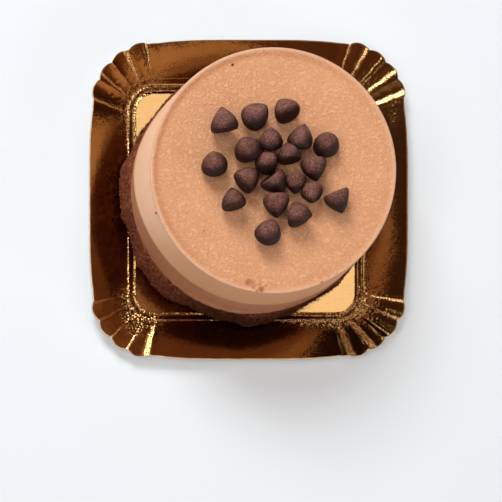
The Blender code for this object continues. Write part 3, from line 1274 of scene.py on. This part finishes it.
@dataclass
class UpperMousse(Layer):
    """The paler mousse: a pitted top in a raised lip, and a smooth side."""

    name = "upper_mousse_pale"
    slot = "pale_mousse"
    node = "upper_mousse"
    texture = {
        "broad_size": 7.5 * MM, "broad_depth": 0.05 * MM, "fine_size": 1.5 * MM, "fine_depth": 0.03 * MM,
        "seed": 2.0,
    }
    # Inset from the side and height above the top, in mm, from the flat of the top to the side.
    lip: tuple[Pair, ...] = (
        (5.4, 0.0), (4.4, -0.05), (3.5, -0.22), (2.9, -0.26), (2.3, -0.08), (1.8, 0.22), (1.3, 0.44),
        (0.9, 0.48), (0.55, 0.42), (0.28, 0.26), (0.1, 0.0), (0.0, -0.4), (0.0, -0.9),
    )
    craters: tuple[Crater, ...] = (
        Crater(257.8, 3.6, 1.50, 0.45, 0.75),
        Crater(259.8, 4.2, 0.90, 0.35, 0.55),
        Crater(260.8, 2.2, 1.05, 0.40, 0.50),
        Crater(264.6, 1.6, 1.35, 0.55, 0.95),
        Crater(262.6, 0.8, 0.70, 0.40, 0.80),
        Crater(266.6, 3.0, 0.65, 0.30, 0.60),
        Crater(263.3, 3.9, 0.60, 0.25, 0.45),
        Crater(293.6, 0.6, 0.60, 0.40, 0.70),
        Crater(288.0, 1.5, 0.60, 0.30, 0.15),
        Crater(297.5, 1.3, 0.70, 0.40, 0.15),
        Crater(301.5, 0.7, 0.60, 0.45, 0.25),
        Crater(306.0, 1.5, 0.60, 0.35, 0.20),
        Crater(310.5, 0.9, 0.50, 0.35, 0.20),
        Crater(60.8, 2.5, 0.60, 0.12, 0.35),
    )
    # The lip is crisp in one direction and rough in another, in degrees.
    crisp_way: float = 145
    rough_way: float = 300
    lip_ripple: Waves = (14 * MM, 5)
    crater_rim: float = 0.20 * MM
    crater_floor: float = 1.2 * MM
    inner_rings: int = 74
    wall_rings: int = 34

    def stack(self) -> None:
        """Add the flat of the top, the lip, the side and the join, and break the bubbles."""
        cake, add = self.cake, self.add
        crisp = 0.45 + 0.55 * cake.facing(self.crisp_way, -0.5, 0.6)
        rough = cake.facing(self.rough_way, 0.93, 0.99)
        wave = cake.uneven(*self.lip_ripple)
        for radius in np.linspace(0.5 * MM, cake.radius - self.lip[0][0] * MM, self.inner_rings)[:-1]:
            add(radius, cake.top, grain=1.0)
        for inset, rise in self.lip:
            lift = rise * np.where(rise > 0, crisp + 0.12 * wave, 1.0 if inset < 0.2 else crisp) * MM
            side = eased(-inset, -0.35, 0.0)
            # Painted shade in the trough inside the lip, strongest where the lip is crisp.
            moat = 0.9 * bell(inset - 3.0, 1.2) * (crisp - 0.35).clip(0)
            # The lip mark paints a highlight along the lip's crest.
            add(cake.radius - inset * MM, cake.top + lift, side=side, grain=0.6 + 2.2 * rough * (1 - side),
                moat=moat, lip=0.75 * bell(inset - 0.8, 0.7))
        meeting = cake.meeting()
        start = cake.top + self.lip[-1][1] * MM
        for step in range(1, self.wall_rings + 1):
            height = start + (meeting - start) * (step / self.wall_rings) ** 0.9
            tan = 0.5 * (1 - eased((height - meeting) / MM, 0.0, 0.9))
            add(cake.side_radius(height), height, side=1.0, grain=0.5, tan=tan)
        for share in cake.inside:
            add(cake.radius * share, cake.meeting(share), side=1.0, tan=0.5)
        for ring, marks in zip(self.rings, self.marks):
            marks["scar"] = self.press(ring)

    def press(self, ring: np.ndarray) -> np.ndarray:
        """Press the craters into a ring.

        Args:
            ring: The ring's points, changed in place.

        Returns:
            How stained each point is.
        """
        stain = np.zeros(len(ring))
        for crater in self.craters:
            reach = self.cake.radius - crater.inset * MM
            middle = np.array(self.cake.centre.xy) + reach * np.array(heading(crater.angle))
            away = np.hypot(*(ring[:, :2] - middle).T) / (crater.radius * MM)
            near = ring[:, 2] > self.cake.top - self.crater_floor
            bowl = np.where(near, np.clip(1 - away**2, 0, 1), 0)
            rim = np.where(near, bell(away - 1.15, 0.22), 0)
            ring[:, 2] += self.crater_rim * rim - crater.depth * MM * bowl
            stain = np.maximum(stain, crater.stain * np.clip(bowl * 2.2, 0, 1))
        return stain


@dataclass
class LowerMousse(Layer):
    """The darker mousse, whose lower edge sags a little over the sponge."""

    name = "lower_mousse_tan"
    slot = "tan_mousse"
    node = "lower_mousse"
    texture = {
        "broad_size": 6 * MM, "broad_depth": 0.06 * MM, "fine_size": 1.4 * MM, "fine_depth": 0.06 * MM,
        "seed": 5.0,
    }
    wall_rings: int = 24
    # How far the hem hangs down in mm: everywhere, more in one direction, and in ripples.
    sag: float = 0.30
    sag_more: float = 0.9
    sag_way: float = 252
    sag_width: float = 30
    sag_uneven: float = 0.16
    sag_ripple: Waves = (3.2 * MM, 21)
    # How far the top lies below the paler mousse, inside and at the side.
    inner_gap: float = 0.02 * MM
    gap: float = 0.005 * MM

    def stack(self) -> None:
        """Add the join, the side and the sagging hem."""
        cake, add = self.cake, self.add
        swell = bell(apart(cake.angles, self.sag_way), self.sag_width)
        sag = self.sag + self.sag_more * swell + self.sag_uneven * cake.uneven(*self.sag_ripple)
        sag = sag.clip(0.0)
        over = 0.5 * MM * eased(sag, 0.3, 1.2)
        for share in reversed(cake.inside):
            add(cake.radius * share, cake.meeting(share) - self.inner_gap, side=1.0, tan=0.5)
        meeting = cake.meeting() - self.gap
        bottom = cake.sponge_top + 0.25 * MM - sag * MM
        for share in np.linspace(0, 1, self.wall_rings + 1):
            height = meeting + (bottom - meeting) * share
            radius = cake.side_radius(height)
            radius += over * eased((cake.sponge_top + 2.5 * MM - height) / MM, 0.0, 2.6)
            tan = 0.5 + 0.5 * eased((meeting - height) / MM, 0.0, 0.9)
            add(radius, height, side=1.0, grain=0.5 + 1.5 * eased(share, 0.75, 1.0), tan=tan)
        hem = np.maximum(bottom, cake.sponge_top - 0.3 * MM)
        add(cake.side_radius(cake.sponge_top) - 0.6 * MM, hem, side=1.0, tan=1.0)
        add(cake.radius - 6 * MM, cake.sponge_top, side=1.0, tan=1.0)


@dataclass
class SpongeBase(Layer):
    """The sponge: a rough, pitted side with crumbs clinging to it, standing on the tray."""

    name = "sponge_base_crumb"
    slot = "sponge"
    node = "sponge_base"
    texture = {
        "broad_size": 3.6 * MM, "broad_depth": 0.7 * MM, "fine_size": 1.2 * MM, "fine_depth": 0.6 * MM,
        "pore_size": 2.0 * MM, "pore_depth": 1.5 * MM, "seed": 9.0,
    }
    # Share of the height from the top down, inset in mm, and share of the side's waves.
    section: tuple[Triple, ...] = (
        (0.0, 1.1, 0.5), (0.02, 0.5, 0.6), (0.07, 0.1, 0.7), (0.25, 0.2, 0.8), (0.5, 0.3, 0.9),
        (0.76, 0.0, 1.0), (0.88, 0.4, 1.0), (0.95, 1.5, 0.9), (1.0, 3.0, 0.7),
    )
    wall_rings: int = 44
    # Painted shadow: the side is painted almost black about this direction, out to a width on either side,
    # in degrees.
    painted_shadow_way: float = 275
    painted_shadow_width: float = 42

    def stack(self) -> None:
        """Add the top's edge, the side and the foot."""
        cake, add = self.cake, self.add
        # Painted shadow on one side of the sponge, near black.
        soaked = 0.8 * bell(apart(cake.angles, self.painted_shadow_way), self.painted_shadow_width, 4)
        add(cake.radius - 8 * MM, cake.sponge_top, soaked=soaked)
        add(cake.radius - 3 * MM, cake.sponge_top, grain=0.3, soaked=soaked)
        at, insets, waves = np.array(self.section).T
        for share in np.linspace(0, 1, self.wall_rings):
            height = cake.sponge_top + (Tray.card - cake.sponge_top) * share
            edge = cake.sponge_edge() * np.interp(share, at, waves)
            radius = cake.side_radius(height) + edge - np.interp(share, at, insets) * MM
            crumbs = eased(share, 0.02, 0.1) * (1 - 0.3 * eased(share, 0.9, 1.0))
            add(radius, height, grain=1.0 - 0.7 * eased(share, 0.93, 1.0), crumbs=crumbs,
                soaked=soaked * eased(share, -0.3, 0.4))
        add(cake.radius - 8 * MM, Tray.card, soaked=soaked)

    def scatter(self, finish: Finish, crumbs: CrumbRule) -> Piece:
        """Scatter crumbs over the smooth side of the built sponge.

        Args:
            finish: The crumbs' finish.
            crumbs: The rule that scatters them.

        Returns:
            The crumbs.
        """
        name = "sponge_loose_crumbs"
        piece = add_piece(name, self.mesh(name))
        crumbs.apply(piece, density=230000.0, smallest=0.18 * MM, largest=0.62 * MM, seed=4, finish=finish)
        declare(piece, self.slot)
        return piece


# --- Chocolate drops --------------------------------------------------------------------


@dataclass(frozen=True)
class Drop:
    """One drop's pose and quirks.

    The tip leans from upright by `lean` degrees towards `heading`, in degrees from +X. The tip is
    bent sideways by `bend` of the radius towards `bend_way` degrees round the drop's own axis.
    `facets` are flats: degrees round the axis, degrees up, and distance as a share of the radius.
    A `notch` is a gash below the tip, in degrees round the axis.
    """

    lean: float
    heading: float
    size: float
    bend: float = 0.08
    bend_way: float = 40.0
    facets: tuple[Triple, ...] = ()
    notch: float | None = None


@dataclass
class Drops:
    """The twenty chocolate drops on the cake."""

    radius: float = 5.3 * MM
    height: float = 9.2 * MM
    sink: float = 0.45 * MM
    uneven: float = 0.022
    # Flats and notches: how much of what stands out is pressed in, and how deep a notch is.
    press: float = 0.92
    notch_depth: float = 0.45
    # Painted light: the drops are painted lighter on the side that faces this way, and darker on the other.
    lit_way: Triple = (-0.35, 0.40, 0.85)
    steps: int = 72
    rows: int = 44
    # Radius and height shares from the tip down to the middle of the base.
    profile: tuple[Pair, ...] = (
        (0.0, 1.0), (0.06, 0.992), (0.13, 0.965), (0.24, 0.91), (0.37, 0.84), (0.5, 0.765), (0.63, 0.675),
        (0.76, 0.565), (0.88, 0.44), (0.96, 0.32), (1.0, 0.2), (0.99, 0.11), (0.95, 0.045), (0.88, 0.01),
        (0.8, 0.0), (0.6, 0.02), (0.35, 0.035), (0.0, 0.04),
    )
    drops: tuple[Drop, ...] = (
        Drop(82, 98, 1.05, 0.10, 120, ((-62, 32, 0.66),)),
        Drop(28, 38, 1.05, 0.14, 20),
        Drop(118, 110, 0.98),
        Drop(50, 100, 0.9),
        Drop(50, 85, 0.96, 0.05, 0, (), 12.0),
        Drop(22, 110, 0.99, 0.05),
        Drop(42, 135, 1.0),
        Drop(100, 95, 0.88),
        Drop(20, 18, 0.9, 0.12, 10, ((20, 50, 0.9),)),
        Drop(90, -82, 0.97, 0.10, 60),
        Drop(35, 107, 1.0, 0.12, 90),
        Drop(90, 37, 1.0),
        Drop(100, -50, 0.95, 0.2, 80),
        Drop(90, -95, 0.8, 0.15, 30),
        Drop(60, -95, 0.82),
        Drop(95, 99, 0.93, 0.15, -30),
        Drop(85, -90, 0.98),
        Drop(60, -12, 0.96, 0.1, 180),
        Drop(95, -68, 0.98, 0.06, 0, ((100, 25, 0.75),)),
        Drop(30, 75, 1.0, 0.1, 60, ((50, 45, 0.9),)),
    )

    def outline(self) -> np.ndarray:
        """Round the profile and space its points evenly.

        Returns:
            Points of (radius, height) in metres, from the tip down.
        """
        line = np.array(self.profile)
        for _ in range(2):
            cut = np.empty((2 * len(line) - 2, 2))
            cut[0::2] = 0.75 * line[:-1] + 0.25 * line[1:]
            cut[1::2] = 0.25 * line[:-1] + 0.75 * line[1:]
            line = np.vstack([line[:1], cut, line[-1:]])
        length = np.concatenate([[0], np.cumsum(np.hypot(*np.diff(line, axis=0).T))])
        spaced = np.linspace(0, length[-1], self.rows)
        spaced = [np.interp(spaced, length, part) for part in line.T]
        return np.column_stack(spaced) * (self.radius, self.height)

    def body(self, drop: Drop, seed: int) -> np.ndarray:
        """The points of one drop, upright on the origin.

        Args:
            drop: The drop.
            seed: The seed of its unevenness.

        Returns:
            One ring of points after another, from the tip down.
        """
        draw = np.random.default_rng(seed)
        across, up = (part[:, None] for part in self.outline()[1:-1].T)
        rise = up / self.height
        turn = np.arange(self.steps) * 2 * np.pi / self.steps
        swell = np.ones((len(up), self.steps))
        for count in (1, 2, 3, 4):
            phase, height = draw.uniform(0, 2 * np.pi), draw.uniform(0.3, 1.0)
            swell += self.uneven * height / count**0.5 * np.cos(count * turn + phase + 1.4 * rise)
        tip_x, tip_y = heading(drop.bend_way)
        bend = rise**2.2 * drop.bend * self.radius
        x = across * swell * np.cos(turn) + bend * tip_x
        y = across * swell * np.sin(turn) + bend * tip_y
        points = np.stack([x, y, up + 0 * x], axis=-1).reshape(-1, 3)
        middle = np.array([0, 0, self.height * 0.32])
        for around, above, reach in drop.facets:
            (x, y), (level, climb) = heading(around), heading(above)
            normal = np.array([x * level, y * level, climb])
            beyond = ((points - middle) @ normal - reach * self.radius).clip(0)
            points -= beyond[:, None] * normal * self.press
        if drop.notch is not None:
            angle = apart(np.degrees(np.arctan2(points[:, 1], points[:, 0])), drop.notch)
            rise = points[:, 2] / self.height
            gash = bell(angle, 16) * eased(rise, 0.6, 0.78) * (1 - eased(rise, 0.93, 0.99))
            points[:, :2] *= (1 - self.notch_depth * gash)[:, None]
        return points

    def build(self, finish: Finish, grain: GrainRule) -> list[Piece]:
        """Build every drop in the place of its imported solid.

        Args:
            finish: The chocolate's finish.
            grain: The rule that roughens its surface.

        Returns:
            The drops.
        """
        made = []
        for number, drop in enumerate(self.drops, start=1):
            node = f"drop_{number:02d}"
            lean = Euler((0, np.radians(drop.lean), 0)).to_matrix()
            pose = Matrix.Rotation(np.radians(drop.heading), 3, "Z") @ lean
            points = self.body(drop, 40 + number) * drop.size @ np.array(pose).T
            away = points - (points.min(0) + points.max(0)) / 2
            points = away + sum(np.array(corner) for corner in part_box(node)) / 2
            points[:, 2] -= self.sink
            # Painted light: this mark makes each drop lighter on the side that faces up and to the left.
            facing = away / np.linalg.norm(away, axis=1, keepdims=True) @ np.array(self.lit_way)
            marks = {"grain": np.ones(len(points)), "dusty": eased(facing, 0.0, 1.0)}
            mesh = make_mesh(node, points, ring_faces(self.rows - 2, self.steps), marks)
            piece = add_piece(f"chocolate_{node}", mesh)
            grain.apply(piece, broad_size=2.6 * MM, broad_depth=0.10 * MM, fine_size=0.9 * MM,
                        fine_depth=0.045 * MM, seed=float(number), finish=finish)
            declare(piece, "chocolate", node)
            made.append(piece)
        return made


# --- Specks -----------------------------------------------------------------------------


@dataclass(frozen=True)
class Speck:
    """One crumb lying on the cake: its place and size in mm, and its turn in degrees."""

    x: float
    y: float
    length: float
    width: float
    height: float
    turn: float


@dataclass
class Specks:
    """The few stray crumbs on the cake's top and rim."""

    cake: Cake
    rows: int = 9
    columns: int = 14
    lift: float = 0.1 * MM
    lumpiness: float = 0.35
    # Places are from the cake's middle.
    crumbs: tuple[Speck, ...] = (
        Speck(-16.4, 42.8, 1.25, 0.95, 0.6, 20),
        Speck(-14.6, 48.0, 0.55, 0.45, 0.5, 0),
        Speck(-47.5, -17.3, 1.1, 0.55, 0.5, 105),
        Speck(-33.4, -35.8, 0.7, 0.5, 0.4, 40),
        Speck(-28.9, -40.0, 0.5, 0.4, 0.35, 10),
        Speck(-27.9, -24.4, 0.75, 0.4, 0.15, 15),
        Speck(-36.8, 29.4, 0.6, 0.35, 0.12, 70),
        Speck(-37.6, 15.0, 0.4, 0.3, 0.12, 0),
    )

    def build(self, finish: Finish) -> Piece:
        """Build the crumbs as one piece.

        Args:
            finish: Their finish.

        Returns:
            The piece.
        """
        level, climb = heading(np.linspace(90, -90, self.rows)[1:-1, None])
        x, y = heading(np.arange(self.columns) * 360 / self.columns)
        ball = np.stack([level * x, level * y, climb + 0 * x], -1).reshape(-1, 3)
        skin = ring_faces(self.rows - 2, self.columns)
        points, faces = [], []
        for number, speck in enumerate(self.crumbs):
            draw = np.random.default_rng(300 + number)
            lump = ball * (1 + self.lumpiness * (draw.random((len(ball), 1)) - 0.5))
            lump = lump * np.array([speck.length, speck.width, speck.height]) / 2 * MM
            turned = lump @ np.array(Matrix.Rotation(np.radians(speck.turn), 3, "Z")).T
            place = self.cake.centre + Vector((speck.x * MM, speck.y * MM, self.cake.top + self.lift))
            points.append(turned + np.array(place))
            faces += [[number * len(ball) + index for index in face] for face in skin]
        piece = add_piece("loose_crumbs", make_mesh("loose_crumbs", np.concatenate(points), faces), finish)
        declare(piece, "sponge")
        return piece


# --- Studio -----------------------------------------------------------------------------


def direction(azimuth: float, elevation: float) -> Vector:
    """The way from the cake to a place in the room, in degrees round and up."""
    (x, y), (level, climb) = heading(azimuth), heading(elevation)
    return Vector((x * level, y * level, climb))


@dataclass(frozen=True)
class SoftBox:
    """A square soft light: its azimuth and elevation from the cake, brightness, size and distance."""

    name: str
    azimuth: float
    elevation: float
    brightness: float
    colour: Colour = (1.0, 0.99, 0.975)
    size: float = 0.7
    distance: float = 1.6

    def build(self, aim: Vector) -> None:
        """Hang the light so that it faces a point.

        Args:
            aim: The point.
        """
        lamp = bpy.data.lights.new(self.name, "AREA")
        lamp.size = self.size
        lamp.energy = self.brightness * np.pi * self.size**2
        lamp.color = self.colour
        obj = bpy.data.objects.new(self.name, lamp)
        way = direction(self.azimuth, self.elevation)
        obj.location = aim + way * self.distance
        obj.rotation_euler = way.to_track_quat("Z", "Y").to_euler()
        obj.visible_camera = False
        bpy.context.scene.collection.objects.link(obj)


@dataclass
class Studio:
    """The table, the lights, the surroundings and the camera."""

    soft_boxes: tuple[SoftBox, ...] = (
        SoftBox("overhead_panel", 45, 69.2, 1.80, (1.0, 1.0, 1.0), 0.5, 1.25),
        SoftBox("window", 120, 42, 11.9),
        SoftBox("high_window", 112, 57, 5.0, size=0.2),
        SoftBox("left_fill", 195, 55, 4.6),
        SoftBox("front_strip", 268, 54, 4.0, (1.0, 0.95, 0.88), 0.3),
        SoftBox("right_fill", 335, 32, 2.1, (1.0, 0.96, 0.92)),
        SoftBox("front_right_fill", 300, 28, 2.2, (1.0, 0.96, 0.92)),
        SoftBox("front_fill", 240, 62, 0.3, (1.0, 0.95, 0.88)),
        SoftBox("back_right_fill", 45, 22, 0.3),
    )
    aim: Vector = field(default_factory=lambda: Vector((0.0, 0.0, 0.02)))
    # The room: dark overhead and pale low down, with warm, dim parts at an azimuth and elevation.
    dark: Colour = (0.026, 0.009, 0.005)
    pale: Colour = (0.80, 0.81, 0.83)
    glow_sharpness: float = 12.0
    glows: tuple[tuple[float, float, Colour], ...] = (
        (225, 75, (0.125, 0.066, 0.042)),
        (143, 62, (0.018, 0.007, 0.004)),
        (307, 62, (0.085, 0.034, 0.019)),
        (345, 50, (0.260, 0.105, 0.056)),
    )
    table_size: float = 16.0
    table_drop: float = 0.05 * MM
    eye: Vector = field(default_factory=lambda: Vector((-0.3551, -0.3541, 1.309)))
    frame_centre: Vector = field(default_factory=lambda: Vector((0.0026, -0.0199, 0.0)))
    frame_width: float = 0.2107
    sensor: float = 36.0

    def build(self) -> None:
        """Build everything that is not part of the cake."""
        self.lay_table()
        for box in self.soft_boxes:
            box.build(self.aim)
        self.surround()
        self.aim_camera()
        bpy.context.scene.view_settings.view_transform = "Standard"

    def lay_table(self) -> None:
        """Lay the pale table that the tray stands on."""
        half, z = self.table_size / 2, -self.table_drop
        points = np.array([(-half, -half, z), (half, -half, z), (half, half, z), (-half, half, z)])
        table = add_piece("table", make_mesh("table", points, [[0, 1, 2, 3]]), Tabletop().material())

    def surround(self) -> None:
        """Surround the table with a room that is pale near the horizon and dark overhead."""
        world = bpy.data.worlds.new("room")
        bpy.context.scene.world = world
        world.use_nodes = True
        make = NodeMaker(world.node_tree)
        way = make.add("ShaderNodeTexCoord").outputs["Generated"]
        height = make.value("ShaderNodeSeparateXYZ", {"Vector": way}, "Z")
        colour = make.blend(height.eased(0.06, 0.2), self.pale, self.dark)
        for azimuth, elevation, glow in self.glows:
            facing = Value(make, make.vector("DOT_PRODUCT", way, tuple(direction(azimuth, elevation))))
            share = ((facing - 1.0) * self.glow_sharpness).math("EXPONENT")
            colour = make.blend(share, colour, glow, "ADD")
        make.feed(world.node_tree.nodes["Background"].inputs["Color"], colour)

    def aim_camera(self) -> None:
        """Stand the camera over the front left, with its picture plane level with the table."""
        back = self.eye - self.frame_centre
        holder = bpy.data.objects.new("camera_stand", None)
        data = bpy.data.cameras.new("camera")
        camera = bpy.data.objects.new("camera", data)
        for obj in (holder, camera):
            bpy.context.scene.collection.objects.link(obj)
        camera.parent = holder
        shear = zip((1, 0, 0), (0, 1, 0), back.normalized(), self.eye)
        camera.matrix_parent_inverse = Matrix((*shear, (0, 0, 0, 1)))
        data.sensor_width = self.sensor
        data.lens = self.sensor * back.length / self.frame_width
        data.clip_start, data.clip_end = 0.05, 20.0
        bpy.context.scene.camera = camera


# --- Main -------------------------------------------------------------------------------


def main() -> None:
    """Build the tray, the cake, its drops and the studio, in that order."""
    logging.basicConfig(level=logging.INFO, format="%(name)s: %(message)s")
    grain, crumbs = GrainRule(), CrumbRule()
    Tray().build(GiltFoil().material(), BareCard().material())
    cake = Cake()
    mousse, sponge = Mousse().material(), Sponge().material()
    base = SpongeBase(cake)
    base.build(sponge, grain)
    base.scatter(sponge, crumbs)
    LowerMousse(cake).build(mousse, grain)
    UpperMousse(cake).build(mousse, grain)
    Drops().build(DarkChocolate().material(), grain)
    Specks(cake).build(sponge)
    Studio().build()


if __name__ == "__main__":
    main()
